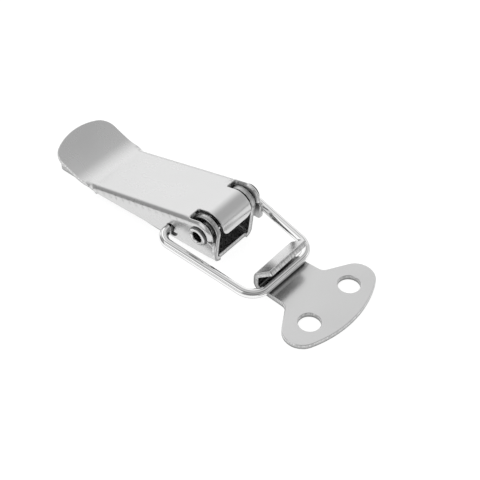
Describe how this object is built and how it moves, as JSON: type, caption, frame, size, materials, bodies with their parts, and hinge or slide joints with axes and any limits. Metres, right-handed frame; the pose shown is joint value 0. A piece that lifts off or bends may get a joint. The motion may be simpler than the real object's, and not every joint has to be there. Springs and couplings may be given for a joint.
{
  "type": "over centre toggle latch",
  "caption": "Over centre toggle latch: a folded sheet lever riveted to a screw-down base pulls a wire bail against the hook of a separate catch plate.",
  "frame": {"origin": "under the middle of the closed latch, on the mounting face", "axes": "+X from the lever's tail to the catch plate, +Y across the latch, +Z away from the mounting face"},
  "size_m": [0.0754, 0.025, 0.0118],
  "materials": {
    "base_sheet": "bright nickel plating on pressed sheet steel",
    "lever_sheet": "bright nickel plating on pressed sheet steel",
    "rivet": "nickel plated tubular rivet with rolled ends",
    "bail_wire": "bright nickel plated round steel wire",
    "catch_sheet": "bright nickel plating on stamped sheet steel"
  },
  "bodies": {
    "mounting": {"base_plate": "base_sheet", "pivot_rivet": "rivet", "catch_plate": "catch_sheet"},
    "lever": {"lever": "lever_sheet"},
    "bail": {"wire_bail": "bail_wire"}
  },
  "joints": [
    {"name": "lever_turn", "type": "hinge", "parent": "mounting", "child": "lever", "pos_m": [0.00541, 0, 0.0083], "axis": [0, 1, 0], "range_deg": [0, 100]},
    {"name": "bail_swing", "type": "hinge", "parent": "lever", "child": "bail", "pos_m": [-0.00179, 0, 0.0053], "axis": [0, 1, 0], "range_deg": [-74, 0]}
  ],
  "couplings": [
    {"joint": "bail_swing", "follows": "lever_turn", "ratio": -0.72}
  ]
}
